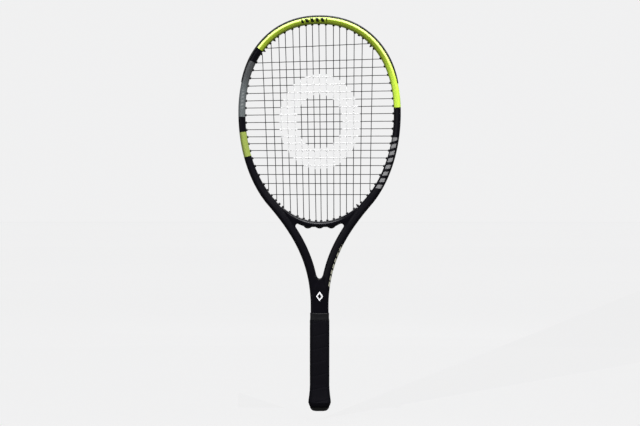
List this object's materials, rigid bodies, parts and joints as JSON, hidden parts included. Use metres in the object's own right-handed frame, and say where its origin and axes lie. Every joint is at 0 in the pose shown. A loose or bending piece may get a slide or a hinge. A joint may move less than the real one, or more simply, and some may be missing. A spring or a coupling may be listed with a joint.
{
  "type": "tennis racket",
  "caption": "Adult tennis racket: oval strung head, open throat with bridge, round-cornered shaft and octagonal wrapped grip; black with yellow-green and grey bands.",
  "frame": {"origin": "centre of the butt end, where the heel of the hand holds the handle", "axes": "+Z from the butt end to the tip of the head, -Y the front of the string bed, +X to the right seen from the front"},
  "size_m": [0.2818, 0.0352, 0.6858],
  "materials": {
    "paint": "satin black lacquer with bright yellow-green and grey bands",
    "nylon": "moulded nylon",
    "string": "black polyester monofilament with a white stencil",
    "foam": "rigid polyurethane foam",
    "grip": "black synthetic leather wrap",
    "tape": "vinyl tape",
    "collar": "black rubber",
    "steel": "galvanised wire"
  },
  "bodies": {
    "racket": {"frame": "paint", "throat_bridge": "paint", "bumper_guard": "nylon", "grommet_strip_left": "nylon", "grommet_strip_right": "nylon", "grommet_strip_throat": "nylon", "main_string": "string", "cross_string": "string", "handle_pallet_front": "foam", "handle_pallet_back": "foam", "butt_cap": "nylon", "base_grip": "grip", "finishing_tape": "tape", "butt_cap_staple_1": "steel", "butt_cap_staple_2": "steel", "butt_cap_staple_3": "steel", "butt_cap_staple_4": "steel"},
    "collar": {"rubber_collar": "collar"},
    "door": {"butt_cap_door": "nylon"}
  },
  "joints": [
    {"name": "collar_slide", "type": "slide", "parent": "racket", "child": "collar", "axis": [0, 0, 1], "range_m": [0, 0.018]},
    {"name": "door_pull", "type": "slide", "parent": "racket", "child": "door", "axis": [0, 0, -1], "range_m": [0, 0.014]}
  ]
}
